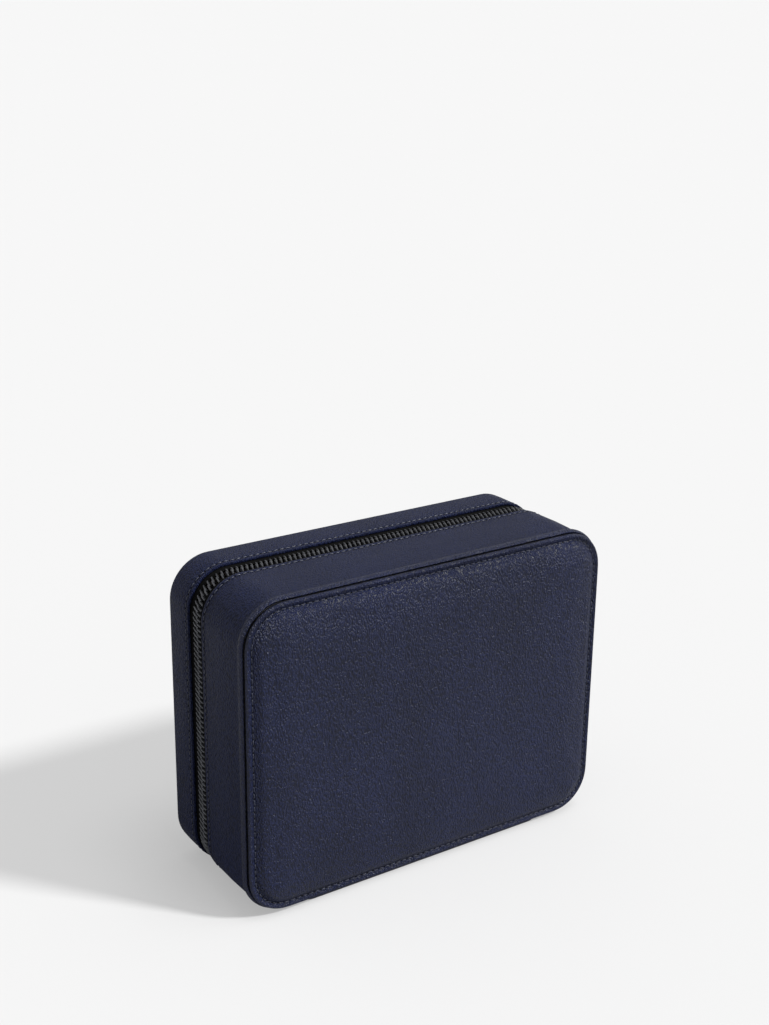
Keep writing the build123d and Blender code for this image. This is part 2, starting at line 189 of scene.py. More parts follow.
floor_size = 120.0
floor_tone = 0.385
floor_fleck = 0.003
floor_lift = 0.37
floor_paint, paper, paper_shader = new_finish("floor_paint")
paper_shader.inputs["Emission Color"].default_value = (1.0, 1.0, 1.0, 1.0)
paper_path = paper.nodes.new("ShaderNodeLightPath")
paper_lift = paper.nodes.new("ShaderNodeMath")
paper_lift.operation = "MULTIPLY"
paper_lift.inputs[1].default_value = floor_lift
paper.links.new(paper_path.outputs["Is Camera Ray"], paper_lift.inputs[0])
paper.links.new(paper_lift.outputs["Value"], paper_shader.inputs["Emission Strength"])
paper_shader.inputs["Roughness"].default_value = 1.0
paper_shader.inputs["Specular IOR Level"].default_value = 0.0
paper_grain = paper.nodes.new("ShaderNodeTexNoise")
paper_grain.inputs["Scale"].default_value = 60.0
paper_tone = paper.nodes.new("ShaderNodeValToRGB")
paper_tone.color_ramp.elements[0].color = (*(3 * [floor_tone * (1 - floor_fleck)]), 1.0)
paper_tone.color_ramp.elements[1].color = (*(3 * [floor_tone * (1 + floor_fleck)]), 1.0)
paper.links.new(paper_grain.outputs["Fac"], paper_tone.inputs["Fac"])
paper.links.new(paper_tone.outputs["Color"], paper_shader.inputs["Base Color"])
well_paint = floor_paint.copy()
well_paint.name = "well_paint"
well = well_paint.node_tree
below = well.nodes.new("ShaderNodeAmbientOcclusion")
below.inside = True
below.samples = 48
below.inputs["Distance"].default_value = 0.5
clear = well.nodes.new("ShaderNodeMath")
clear.operation = "GREATER_THAN"
clear.inputs[1].default_value = 0.99
well.links.new(below.outputs["AO"], clear.inputs[0])
well.links.new(clear.outputs["Value"], well.nodes["Principled BSDF"].inputs["Alpha"])

well_corners = [
    Vector((-0.193, -0.158)),
    Vector((-0.032, -0.158)),
    Vector((0.109, 0.004)),
    Vector((0.109, 0.063)),
    Vector((-0.111, 0.063)),
    Vector((-0.193, -0.118)),
]
well_sides = []
for start, end in zip(well_corners, well_corners[1:] + well_corners[:1]):
    along = (end - start).normalized()
    well_sides.append((start, Vector((-along.y, along.x))))
finish_mode()
bpy.ops.mesh.primitive_plane_add(size=floor_size)
floor = bpy.context.object
floor.name = "floor"
for start, inward in well_sides:
    cut(floor, (*start, 0.0), (*inward, 0.0))
finish_mode()
floor.data.materials.append(floor_paint)
floor.data.materials.append(well_paint)
for tile in floor.data.polygons:
    inside = all((tile.center.xy - start).dot(inward) > 0.0 for start, inward in well_sides)
    tile.material_index = 1 if inside else 0
floor.visible_shadow = False

# ---------------------------------------------------------------------------------------
# Outer leather: navy hide with a pebbled grain, drum dyed and finished satin.
# The grain is pressed, so it is a bump, and every outside piece shares it.
# ---------------------------------------------------------------------------------------
def object_space(tree, scale=(1.0, 1.0, 1.0)):
    """Object coordinates with a stretch along each axis."""
    place = tree.nodes.new("ShaderNodeTexCoord")
    stretch = tree.nodes.new("ShaderNodeMapping")
    stretch.inputs["Scale"].default_value = scale
    tree.links.new(place.outputs["Object"], stretch.inputs["Vector"])
    return stretch.outputs["Vector"]


def noise(tree, vector, scale, detail=2.0, roughness=0.5):
    """A noise texture's value at a scale in cycles per metre."""
    texture = tree.nodes.new("ShaderNodeTexNoise")
    texture.inputs["Scale"].default_value = scale
    texture.inputs["Detail"].default_value = detail
    texture.inputs["Roughness"].default_value = roughness
    tree.links.new(vector, texture.inputs["Vector"])
    return texture.outputs["Fac"]


def ramp(tree, value, low, high, dark, light):
    """A colour or grey that runs from dark at low to light at high."""
    node = tree.nodes.new("ShaderNodeValToRGB")
    node.color_ramp.elements[0].position = low
    node.color_ramp.elements[1].position = high
    node.color_ramp.elements[0].color = (*dark, 1.0)
    node.color_ramp.elements[1].color = (*light, 1.0)
    tree.links.new(value, node.inputs["Fac"])
    return node.outputs["Color"]


def grey(tone):
    return (tone, tone, tone)


def bump(tree, shader, height, distance, strength=1.0, under=None):
    """A bump of a height map, in metres, on top of another bump if there is one."""
    node = tree.nodes.new("ShaderNodeBump")
    node.inputs["Strength"].default_value = strength
    node.inputs["Distance"].default_value = distance
    tree.links.new(height, node.inputs["Height"])
    if under is not None:
        tree.links.new(under, node.inputs["Normal"])
    tree.links.new(node.outputs["Normal"], shader.inputs["Normal"])
    return node.outputs["Normal"]


def tinted(tree, shader, colour, shade):
    """The shader's base colour: a colour multiplied by a shade."""
    tint = tree.nodes.new("ShaderNodeMix")
    tint.data_type = "RGBA"
    tint.blend_type = "MULTIPLY"
    tint.inputs["Factor"].default_value = 1.0
    tree.links.new(colour, tint.inputs["A"])
    tree.links.new(shade, tint.inputs["B"])
    tree.links.new(tint.outputs["Result"], shader.inputs["Base Color"])


def speckled(name, scale, detail, dark, light, roughness=0.5, shine=0.5, span=(0.3, 0.7)):
    """A finish with a fine noise of two tones, and the noise, for a bump or a shine."""
    material, tree, shader = new_finish(name)
    flecks = noise(tree, object_space(tree), scale, detail)
    tree.links.new(ramp(tree, flecks, *span, dark, light), shader.inputs["Base Color"])
    shader.inputs["Roughness"].default_value = roughness
    shader.inputs["Specular IOR Level"].default_value = shine
    return material, tree, shader, flecks


def worn_metal(name, scale, dark, light, polished, dull, metallic):
    """Metal whose tone and roughness vary a little together."""
    material, tree, shader, wear = speckled(name, scale, 3.0, dark, light)
    gloss = ramp(tree, wear, 0.3, 0.7, grey(polished), grey(dull))
    tree.links.new(gloss, shader.inputs["Roughness"])
    shader.inputs["Metallic"].default_value = metallic
    return material


def woven(name, way, scale, wander, dark, light, relief, roughness, shine=0.5):
    """A ribbed weave, with ribs across one axis and dark gaps between them."""
    material, tree, shader = new_finish(name)
    ribs = tree.nodes.new("ShaderNodeTexWave")
    ribs.bands_direction = way
    ribs.inputs["Scale"].default_value = scale
    ribs.inputs["Distortion"].default_value = wander
    tree.links.new(object_space(tree), ribs.inputs["Vector"])
    tone = ramp(tree, ribs.outputs["Fac"], 0.2, 0.8, dark, light)
    tree.links.new(tone, shader.inputs["Base Color"])
    bump(tree, shader, ribs.outputs["Fac"], relief)
    shader.inputs["Roughness"].default_value = roughness
    shader.inputs["Specular IOR Level"].default_value = shine
    return material


def pebbled_leather(name, dark, light, pebble, height, roughness, shine):
    """Hide with domed pebbles of a given size, painted shade in the creases and a cloudy dye."""
    upright_stretch, wander, crease_shade_tone = 0.50, 1.3, 0.34
    material, tree, shader = new_finish(name)
    space = object_space(tree, (1.0, 1.0, upright_stretch))
    warp = tree.nodes.new("ShaderNodeTexNoise")
    warp.inputs["Scale"].default_value = 0.45 / pebble
    warp.inputs["Detail"].default_value = 2.0
    tree.links.new(space, warp.inputs["Vector"])
    shift = tree.nodes.new("ShaderNodeVectorMath")
    shift.operation = "MULTIPLY_ADD"
    shift.inputs[1].default_value = 3 * (wander * pebble,)
    tree.links.new(warp.outputs["Color"], shift.inputs[0])
    tree.links.new(space, shift.inputs[2])
    cells = tree.nodes.new("ShaderNodeTexVoronoi")
    cells.feature = "F1"
    cells.inputs["Scale"].default_value = 1.0 / pebble
    cells.inputs["Randomness"].default_value = 0.9
    tree.links.new(shift.outputs["Vector"], cells.inputs["Vector"])
    domes = ramp(tree, cells.outputs["Distance"], 0.08, 0.75, grey(1.0), grey(0.0))
    domes_bump = bump(tree, shader, domes, height, 1.0)
    fine = noise(tree, space, 2.6 / pebble, 3.0, 0.6)
    bump(tree, shader, fine, height * 0.35, 0.8, domes_bump)
    cloud = noise(tree, space, 22.0, 3.0, 0.55)
    dye = ramp(tree, cloud, 0.3, 0.7, dark, light)
    # The creases between the pebbles are darkened: painted shade.
    crease = ramp(tree, cells.outputs["Distance"], 0.35, 0.8, grey(1.0), grey(crease_shade_tone))
    tinted(tree, shader, dye, crease)
    sheen_map = ramp(tree, fine, 0.2, 0.8, grey(roughness - 0.06), grey(roughness + 0.08))
    tree.links.new(sheen_map, shader.inputs["Roughness"])
    shader.inputs["Specular IOR Level"].default_value = shine
    return material


panel_hide = pebbled_leather(
    "panel_hide", (0.0069, 0.0105, 0.038), (0.0112, 0.0165, 0.057), 0.80 * mm, 0.60 * mm, 0.38, 0.34
)
# Same hide as the panel, painted lighter: painted light on the bands, back panel and spine strip.
band_hide_painted_lighter = pebbled_leather(
    "band_hide_painted_lighter", (0.0100, 0.0140, 0.043), (0.0138, 0.0190, 0.058), 0.80 * mm, 0.50 * mm, 0.44, 0.10
)

# ---------------------------------------------------------------------------------------
# Side bands: two strips of the same hide wrapped round the side boards. Each edge beside
# the zip is turned in and stitched down. The front edge is a ridge, burnished to a shine.
# ---------------------------------------------------------------------------------------
band_low, band_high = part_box("front_band")
back_low, back_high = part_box("back_band")
panel_low, panel_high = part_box("front_panel")
case_width = band_high.x - band_low.x
case_height = band_high.z - band_low.z
case_middle = (band_high.z + band_low.z) / 2
corner_radius = 22.0 * mm
corner_steps = 18

burnish_end = 2.2 * mm
burnish_gone = 4.8 * mm
band_tree = band_hide_painted_lighter.node_tree
band_axes = band_tree.nodes.new("ShaderNodeSeparateXYZ")
band_tree.links.new(object_space(band_tree), band_axes.inputs["Vector"])
burnish = fade(
    band_tree,
    band_axes.outputs["Y"],
    (band_low.y + burnish_end, band_low.y + burnish_gone),
    (0.30, 0.10),
)
band_tree.links.new(
    burnish, band_tree.nodes["Principled BSDF"].inputs["Specular IOR Level"]
)


def apply_all(piece):
    """Applies every modifier of a piece in order."""
    finish_mode()
    bpy.context.view_layer.objects.active = piece
    piece.select_set(True)
    for modifier in list(piece.modifiers):
        bpy.ops.object.modifier_apply(modifier=modifier.name)
    piece.select_set(False)


def block(name, middle, size):
    """A box whose place and size are in its mesh."""
    finish_mode()
    bpy.ops.mesh.primitive_cube_add(size=1.0, location=middle, scale=size)
    piece = bpy.context.object
    piece.name = name
    bpy.ops.object.transform_apply(location=True, rotation=True, scale=True)
    return piece


def bevel(piece, test, width, steps):
    """Rounds off the edges of a piece that pass a test."""
    pick(piece, "EDGE", test)
    bpy.ops.mesh.bevel(offset=width, segments=steps, affect="EDGES")


def round_rims(piece, width, steps, angle=50.0):
    """Rounds off every edge that turns by more than an angle."""
    rims = piece.modifiers.new("rims", "BEVEL")
    rims.width = width
    rims.segments = steps
    rims.limit_method = "ANGLE"
    rims.angle_limit = math.radians(angle)
    apply_all(piece)


def outline_block(name, near, far, inset):
    """A block in the case outline, set in all round, from depth near to depth far."""
    size = (case_width - 2 * inset, far - near, case_height - 2 * inset)
    piece = block(name, (0.0, (near + far) / 2, case_middle), size)
    bevel(piece, lambda middle, way: abs(way.y) > 0.99, corner_radius - inset, corner_steps)
    finish_mode()
    return piece


def open_ends(piece):
    """Takes the front and back faces off a block, which leaves the strip round it."""
    pick(piece, "FACE", lambda middle, normal: abs(normal.y) > 0.9)
    bpy.ops.mesh.delete(type="FACE")


def shape_strip(piece, swells):
    """Adds a loop at each depth and moves it out by its swell, in metres."""
    for depth in swells:
        cut(piece, (0.0, depth, 0.0), (0.0, 1.0, 0.0))
    for depth, swell in swells.items():
        pick(piece, "VERT", lambda place, normal: abs(place.y - depth) < touch)
        bpy.ops.transform.shrink_fatten(value=swell)
    finish_mode()


def thicken(piece, thickness, rounding, steps=3):
    """Gives a strip or sheet its thickness on the inside, and rounds its rims."""
    wall = piece.modifiers.new("wall", "SOLIDIFY")
    wall.thickness = thickness
    wall.offset = -1.0
    wall.use_even_offset = True
    round_rims(piece, rounding, steps)


def settle(piece, body, slot, *replaced, smooth=40.0):
    """Finishes a piece: its shading, its body and what it stands for. The slot is not used."""
    finish_mode()
    bpy.context.view_layer.objects.active = piece
    piece.select_set(True)
    bpy.ops.object.shade_smooth_by_angle(angle=math.radians(smooth))
    piece.select_set(False)
    if body is not None:
        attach(piece, body)
    if replaced:
        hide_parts(*replaced)


def dress(piece, body, slot, material, *replaced, smooth=40.0):
    """Gives a piece its one material and finishes it."""
    piece.data.materials.clear()
    piece.data.materials.append(material)
    settle(piece, body, slot, *replaced, smooth=smooth)


hide_thickness = 1.6 * mm
stitch_setback = 2.6 * mm
stitch_dent = -0.18 * mm
back_turn = 8.0 * mm
back_roll = 3.0 * mm

front_band = outline_block("front_band_hide", band_low.y, band_high.y, 0.0)
open_ends(front_band)
shape_strip(
    front_band,
    {
        band_low.y: -0.30 * mm,
        band_low.y + 0.25 * mm: -0.02 * mm,
        band_low.y + 0.60 * mm: 0.28 * mm,
        band_low.y + 1.10 * mm: 0.60 * mm,
        band_low.y + 1.70 * mm: 0.82 * mm,
        band_low.y + 2.30 * mm: 0.86 * mm,
        band_low.y + 2.90 * mm: 0.70 * mm,
        band_low.y + 3.50 * mm: 0.38 * mm,
        band_low.y + 4.10 * mm: 0.02 * mm,
        band_low.y + 4.8 * mm: -0.24 * mm,
        band_low.y + 6.5 * mm: -0.28 * mm,
        band_low.y + 12.0 * mm: 0.0 * mm,
        band_low.y + 22.0 * mm: 0.25 * mm,
        band_high.y - 6.0 * mm: 0.12 * mm,
        band_high.y - 3.4 * mm: 0.06 * mm,
        band_high.y - stitch_setback - 0.4 * mm: stitch_dent,
        band_high.y - stitch_setback + 0.4 * mm: stitch_dent,
        band_high.y - 1.6 * mm: 0.12 * mm,
        band_high.y - 0.8 * mm: 0.12 * mm,
    },
)
thicken(front_band, hide_thickness, 0.6 * mm)
dress(front_band, "front_half", "outer_leather", band_hide_painted_lighter, "front_band")

back_band = outline_block("back_band_hide", back_low.y, back_high.y, 0.0)
pick(back_band, "FACE", lambda middle, normal: normal.y < -0.9)
bpy.ops.mesh.delete(type="FACE")
pick(back_band, "FACE", lambda middle, normal: normal.y > 0.9)
bpy.ops.mesh.inset(thickness=back_turn)
bpy.ops.mesh.delete(type="FACE")
finish_mode()
round_rims(back_band, back_roll, 6)
shape_strip(
    back_band,
    {
        back_low.y + 0.8 * mm: 0.12 * mm,
        back_low.y + 1.6 * mm: 0.12 * mm,
        back_low.y + stitch_setback - 0.4 * mm: stitch_dent,
        back_low.y + stitch_setback + 0.4 * mm: stitch_dent,
        back_low.y + 3.6 * mm: 0.06 * mm,
        back_low.y + 8.0 * mm: 0.18 * mm,
        back_low.y + 14.0 * mm: 0.15 * mm,
    },
)
thicken(back_band, hide_thickness, 0.5 * mm)
dress(back_band, "back_half", "outer_leather", band_hide_painted_lighter, "back_band")

# ---------------------------------------------------------------------------------------
# Front panel: hide drawn over a thin sheet of foam on the front board. A smooth lip runs
# round it, a row of stitches holds the lip down, and inside the stitches it puffs up.
# ---------------------------------------------------------------------------------------
def padded_face(name, inset, front, profile, middle_step=3.4 * mm):
    """A grid in the case outline that faces the front, shaped by a profile of its edge.

    profile lists how far in each ring lies, and how far in front of the plane it stands.
    middle_step is about the spacing of the grid lines past the profile.
    """
    half_x = case_width / 2 - inset
    half_z = case_height / 2 - inset
    radius = corner_radius - inset
    rings = [ring for ring, rise in profile]

    def lines(half):
        """The places of the grid lines across one direction, from edge to edge."""
        left_over = half - rings[-1]
        count = max(2, round(left_over / middle_step))
        inner = [rings[-1] + left_over * k / count for k in range(1, count + 1)]
        side = [half - step for step in rings + inner]
        return [-place for place in side] + side[-2::-1]

    across, up = lines(half_x), lines(half_z)
    finish_mode()
    bpy.ops.mesh.primitive_grid_add(
        x_subdivisions=len(across) - 1, y_subdivisions=len(up) - 1, size=2.0
    )
    face = bpy.context.object
    face.name = name
    ring_at = np.array(rings)
    rise_at = np.array([rise for ring, rise in profile])
    for vert in face.data.vertices:
        column = round((vert.co.x + 1.0) / 2.0 * (len(across) - 1))
        row = round((vert.co.y + 1.0) / 2.0 * (len(up) - 1))
        x, z = across[column], up[row]
        inward = min(half_x - abs(x), half_z - abs(z))
        turn_radius = max(radius - inward, 0.0)
        gap_x = half_x - inward - abs(x)
        gap_z = half_z - inward - abs(z)
        place_x, place_z = abs(x), abs(z)
        if turn_radius > 1e-6 and max(gap_x, gap_z) < turn_radius:
            share = (turn_radius - max(gap_x, gap_z)) / (2 * turn_radius)
            angle = math.radians(90.0) * (share if gap_z > gap_x else 1.0 - share)
            place_x = half_x - radius + turn_radius * math.cos(angle)
            place_z = half_z - radius + turn_radius * math.sin(angle)
        rise = float(np.interp(inward, ring_at, rise_at))
        vert.co = (
            math.copysign(place_x, x) if x else 0.0,
            front - rise,
            (math.copysign(place_z, z) if z else 0.0) + case_middle,
        )
    finish_mode()
    return face


def ring_depth(place, inset):
    """How far in from the case outline a place on a padded face lies."""
    half_x = case_width / 2 - inset
    half_z = case_height / 2 - inset
    radius = corner_radius - inset
    over_x = abs(place.x) - (half_x - radius)
    over_z = abs(place.z - case_middle) - (half_z - radius)
    if over_x > 0 and over_z > 0:
        return radius - math.hypot(over_x, over_z)
    return min(half_x - abs(place.x), half_z - abs(place.z - case_middle))


def swell(piece, held, reach, pressure):
    """Blows a face up as cloth over its padding, with the held points pinned.

    held tells for each point how firmly it is pinned; reach caps how far a point moves.
    """
    frames = 20
    start = [vert.co.copy() for vert in piece.data.vertices]
    pins = piece.vertex_groups.new(name="held")
    for vert in piece.data.vertices:
        pins.add([vert.index], held(vert.co), "REPLACE")
    cloth = piece.modifiers.new("cloth", "CLOTH")
    cloth.settings.vertex_group_mass = "held"
    cloth.settings.use_pressure = True
    cloth.settings.uniform_pressure_force = pressure
    cloth.settings.tension_stiffness = 25.0
    cloth.settings.bending_stiffness = 2.0
    cloth.settings.quality = 6
    cloth.settings.effector_weights.gravity = 0.0
    cloth.collision_settings.use_collision = False
    cloth.point_cache.frame_end = frames
    for frame_number in range(1, frames + 1):
        scene.frame_set(frame_number)
    seen = piece.evaluated_get(bpy.context.evaluated_depsgraph_get())
    settled = [vert.co.copy() for vert in seen.data.vertices]
    piece.modifiers.clear()
    piece.vertex_groups.clear()
    scene.frame_set(1)
    for vert, old, new in zip(piece.data.vertices, start, settled):
        move = new - old
        if move.length > reach:
            move = move.normalized() * reach
        vert.co = old + move


def face_forward(piece):
    """Turns every face of a one-sided front so that it looks to the front."""
    pick(piece, "FACE", lambda middle, normal: True)
    bpy.ops.mesh.normals_make_consistent(inside=False)
    finish_mode()
    middle_face = min(
        piece.data.polygons,
        key=lambda side: math.hypot(side.center.x, side.center.z - case_middle),
    )
    if middle_face.normal.y > 0:
        pick(piece, "FACE", lambda middle, normal: True)
        bpy.ops.mesh.flip_normals()
        finish_mode()


def close_back(piece, depths):
    """Carries the open rim back through each depth and set-in, and fills the back."""
    pick(piece, "VERT", lambda place, normal: False)
    bpy.ops.mesh.select_mode(type="EDGE")
    bpy.ops.mesh.select_non_manifold()
    for depth, shrink in depths:
        bpy.ops.mesh.extrude_edges_move(TRANSFORM_OT_translate={"value": (0.0, depth, 0.0)})
        if shrink:
            bpy.ops.transform.resize(
                value=(1.0 - 2 * shrink / case_width, 1.0, 1.0 - 2 * shrink / case_height),
                center_override=(0.0, 0.0, case_middle),
            )
    bpy.ops.mesh.edge_face_add()
    finish_mode()


def soften(piece):
    """Subdivides a piece once, which rounds it off."""
    rounding = piece.modifiers.new("rounding", "SUBSURF")
    rounding.levels = 1
    rounding.render_levels = 1
    apply_all(piece)


puff_height = 2.6 * mm
lip_plane = panel_low.y + puff_height
lip_hold = 4.0 * mm
lip_profile = [
    (0.0, -1.05 * mm),
    (0.12 * mm, -0.60 * mm),
    (0.40 * mm, -0.22 * mm),
    (0.80 * mm, -0.02 * mm),
    (1.2 * mm, -0.02 * mm),
    (1.8 * mm, -0.25 * mm),
    (2.5 * mm, -0.62 * mm),
    (3.0 * mm, -0.88 * mm),
    (3.35 * mm, -0.92 * mm),
    (3.65 * mm, -0.60 * mm),
    (4.1 * mm, 0.10 * mm),
    (4.8 * mm, 0.98 * mm),
    (5.5 * mm, 1.72 * mm),
    (6.3 * mm, 2.32 * mm),
    (7.3 * mm, 2.78 * mm),
    (8.6 * mm, 3.10 * mm),
    (10.4 * mm, 3.32 * mm),
    (13.0 * mm, 3.46 * mm),
    (16.5 * mm, 3.54 * mm),
    (21.0 * mm, 3.58 * mm),
    (26.0 * mm, 3.60 * mm),
]
panel_inset = 0.7 * mm
front_panel = padded_face("front_panel_hide", panel_inset, lip_plane, lip_profile)
face_forward(front_panel)
swell(
    front_panel,
    lambda place: 1.0 if ring_depth(place, panel_inset) < lip_hold else 0.0,
    0.5 * mm,
    pressure=2.5,
)
soften(front_panel)
close_back(front_panel, [(0.5 * mm, -0.05 * mm), (0.45 * mm, 0.35 * mm), (0.0, 1.5 * mm)])
face_forward(front_panel)
dress(
    front_panel, "front_half", "outer_leather", panel_hide, "front_panel", "front_foam", smooth=60.0
)

# ---------------------------------------------------------------------------------------
# Stitching: one row of lock stitch round the lip of the front panel, and one beside each
# zip edge. Waxed navy thread, a little paler than the hide, in small holes of painted shade.
# ---------------------------------------------------------------------------------------
stitch_pitch = 3.5 * mm
stitch_length = 2.5 * mm
thread_thickness = 0.50 * mm
stitch_arch = 0.22 * mm
stitch_dive = 0.12 * mm
needle_radius = 0.46 * mm

thread, thread_tree, thread_shader, thread_twist = speckled(
    "thread", 1400.0, 2.0, (0.016, 0.019, 0.036), (0.042, 0.047, 0.072), span=(0.35, 0.65)
)
bump(thread_tree, thread_shader, thread_twist, 0.08 * mm)
# The needle holes are near-black discs: painted shade.
needle_hole_painted_shade = speckled("needle_hole_painted_shade", 900.0, 2.0, grey(0.001), grey(0.004), 0.9, 0.1)[0]


def outline_at(distance, inset):
    """A place on the outline, set in, and the angle it faces out at.

    The distance runs from the middle of the bottom, past the left side, the top and the right.
    """
    half_x, half_z = case_width / 2 - inset, case_height / 2 - inset
    radius = corner_radius - inset
    flat_x, flat_z = 2 * (half_x - radius), 2 * (half_z - radius)
    turn_length = radius * math.pi / 2
    side = (turn_length, flat_z, turn_length)
    legs = (flat_x / 2, *side, flat_x, *side, flat_x / 2)
    angle, place = -math.pi / 2, Vector((0.0, -half_z))
    for number, leg in enumerate(legs):
        step = max(0.0, min(distance, leg))
        if number % 2:
            centre = place - radius * Vector((math.cos(angle), math.sin(angle)))
            angle -= step / radius
            place = centre + radius * Vector((math.cos(angle), math.sin(angle)))
        else:
            place = place + step * Vector((math.sin(angle), -math.cos(angle)))
        distance -= leg
    return place.x, place.y + case_middle, angle


def outline_ways(distance, inset, depth):
    """A place on the outline at a depth, the way along the outline and the way out."""
    x, z, angle = outline_at(distance, inset)
    run = Vector((math.sin(angle), 0.0, -math.cos(angle)))
    out = Vector((math.cos(angle), 0.0, math.sin(angle)))
    return Vector((x, depth, z)), run, out


def placing(spot, run, up):
    """The move that takes a unit to a spot and turns its X along run and its Z up."""
    move = Matrix((run, up.cross(run), up)).transposed().to_4x4()
    move.translation = spot
    return move


def outline_length(inset):
    """The length of the whole outline, set in."""
    radius = corner_radius - inset
    straights = 2 * (case_width - 2 * corner_radius) + 2 * (case_height - 2 * corner_radius)
    return straights + 2 * math.pi * radius


def copy_to(unit, name, places):
    """One piece made of copies of a unit, each with its own mesh, at a list of placings."""
    copies = []
    for move in places:
        twin = unit.copy()
        twin.data = unit.data.copy()
        twin.data.transform(move)
        scene.collection.objects.link(twin)
        copies.append(twin)
    bpy.data.objects.remove(unit)
    finish_mode()
    for twin in copies:
        twin.select_set(True)
    bpy.context.view_layer.objects.active = copies[0]
    bpy.ops.object.join()
    whole = bpy.context.object
    whole.name = name
    finish_mode()
    return whole


def stitch_unit():
    """One stitch along X that arches over the hide, and a disc of painted shade where it dives in.
    """
    finish_mode()
    bpy.ops.mesh.primitive_cylinder_add(
        vertices=6,
        radius=thread_thickness / 2,
        depth=stitch_length,
        rotation=(0.0, math.pi / 2, 0.0),
    )
    unit = bpy.context.object
    bpy.ops.object.transform_apply(location=True, rotation=True, scale=True)
    for share in (-0.34, 0.0, 0.34):
        cut(unit, (share * stitch_length, 0.0, 0.0), (1.0, 0.0, 0.0))
    pick(unit, "VERT", lambda place, normal: abs(place.x) < 0.4 * stitch_length)
    bpy.ops.transform.translate(value=(0.0, 0.0, stitch_arch))
    pick(unit, "VERT", lambda place, normal: abs(place.x) > 0.4 * stitch_length)
    bpy.ops.transform.resize(value=(1.0, 0.72, 0.72), center_override=(0.0, 0.0, 0.0))
    bpy.ops.transform.translate(value=(0.0, 0.0, -stitch_dive))
    finish_mode()
    unit.data.materials.append(thread)
    unit.data.materials.append(needle_hole_painted_shade)
    # A near-black disc of painted shade stands for the needle hole.
    bpy.ops.mesh.primitive_circle_add(
        vertices=8,
        radius=needle_radius,
        fill_type="NGON",
        location=(stitch_pitch / 2, 0.0, 0.03 * mm),
    )
    shade_disc = bpy.context.object
    bpy.ops.object.transform_apply(location=True, rotation=True, scale=True)
    shade_disc.data.materials.append(thread)
    shade_disc.data.materials.append(needle_hole_painted_shade)
    for side in shade_disc.data.polygons:
        side.material_index = 1
    finish_mode()
    unit.select_set(True)
    shade_disc.select_set(True)
    bpy.context.view_layer.objects.active = unit
    bpy.ops.object.join()
    finish_mode()
    return unit


def stitch_row(name, body, inset, depth, facing, lift):
    """Stitches round the outline at a depth, on a side face or on a face to front or back.

    facing is 0 on a side face, -1 on a face to the front and 1 on a face to the back.
    """
    whole = outline_length(inset)
    count = round(whole / stitch_pitch)
    places = []
    for k in range(count):
        spot, run, out = outline_ways((k + 0.5) * whole / count, inset, depth)
        up = Vector((0.0, facing, 0.0)) if facing else out
        places.append(placing(spot + lift * up, run, up))
    settle(copy_to(stitch_unit(), name, places), body, "outer_leather", smooth=50.0)


lip_seam = 3.2 * mm
lip_dent = -0.82 * mm
rear_seam = 6.4 * mm
stitch_row("lip_stitches", "front_half", panel_inset + lip_seam, lip_plane, -1.0, lip_dent)
stitch_row(
    "front_zip_stitches", "front_half", 0.0, band_high.y - stitch_setback, 0.0, -stitch_dive
)
stitch_row(
    "back_zip_stitches", "back_half", 0.0, back_low.y + stitch_setback, 0.0, -stitch_dive
)
stitch_row("rear_panel_stitches", "back_half", rear_seam, back_high.y, 1.0, 0.0)

# ---------------------------------------------------------------------------------------
# Zip: two woven black tapes with a row of cast teeth each. The teeth of one side sit in
# the gaps of the other, and every tooth leans a little along the tape.
# ---------------------------------------------------------------------------------------
teeth_pitch = 2.7 * mm
teeth_begin = 66.0 * mm
teeth_end = 496.0 * mm + teeth_begin
teeth_inset = 2.15 * mm
zip_middle = 9.65 * mm
row_offset = 1.40 * mm
tooth_size = (0.95 * mm, 4.8 * mm, 2.8 * mm)
tooth_round = 0.5 * mm
tooth_crown = 0.15 * mm
tooth_drop = 0.35 * mm
tooth_lean = 0.62 * mm

gunmetal = worn_metal(
    "gunmetal", 320.0, (0.080, 0.083, 0.092), (0.16, 0.165, 0.18), 0.30, 0.42, 0.85
)


def tooth_unit():
    """One tooth across the tape: a leaning bar with a rounded back and lower ends."""
    unit = block("tooth", (0.0, 0.0, 0.0), tooth_size)
    bevel(unit, lambda middle, way: middle.z > 0 and abs(way.y) > 0.9, tooth_round, 2)
    cut(unit, (0.0, 0.0, 0.0), (0.0, 1.0, 0.0))
    tips = 1.0 * mm
    pick(unit, "VERT", lambda place, normal: abs(place.y) < 0.1 * mm and place.z > 0)
    bpy.ops.transform.translate(value=(0.0, 0.0, tooth_crown))
    pick(unit, "VERT", lambda place, normal: abs(place.y) > tips and place.z > 0)
    bpy.ops.transform.translate(value=(0.0, 0.0, -tooth_drop))
    pick(unit, "VERT", lambda place, normal: place.y > tips)
    bpy.ops.transform.translate(value=(tooth_lean, 0.0, 0.0))
    pick(unit, "VERT", lambda place, normal: place.y < -tips)
    bpy.ops.transform.translate(value=(-tooth_lean, 0.0, 0.0))
    finish_mode()
    return unit


def tooth_row(name, body, node, begin, depth):
    """One side's teeth along the tape, from a place near the bottom left corner."""
    places = []
    for k in range(int((teeth_end - begin) / teeth_pitch) + 1):
        places.append(placing(*outline_ways(begin + k * teeth_pitch, teeth_inset, depth)))
    dress(copy_to(tooth_unit(), name, places), body, "zip_metal", gunmetal, node)


tooth_row("front_teeth_row", "front_half", "front_teeth", teeth_begin, zip_middle - row_offset)
tooth_row(
    "back_teeth_row",
    "back_half",
    "back_teeth",
    teeth_begin + teeth_pitch / 2,
    zip_middle + row_offset,
)

tape_weave = woven(
    "tape_weave", "Y", 420.0, 0.6, grey(0.0015), grey(0.006), 0.15 * mm, 0.85, 0.06
)


def cover_cad(material, *names):
    """Gives a finish to nodes that are shown as they are."""
    for name in names:
        node = nodes[name]
        node.data.materials.clear()
        node.data.materials.append(material)


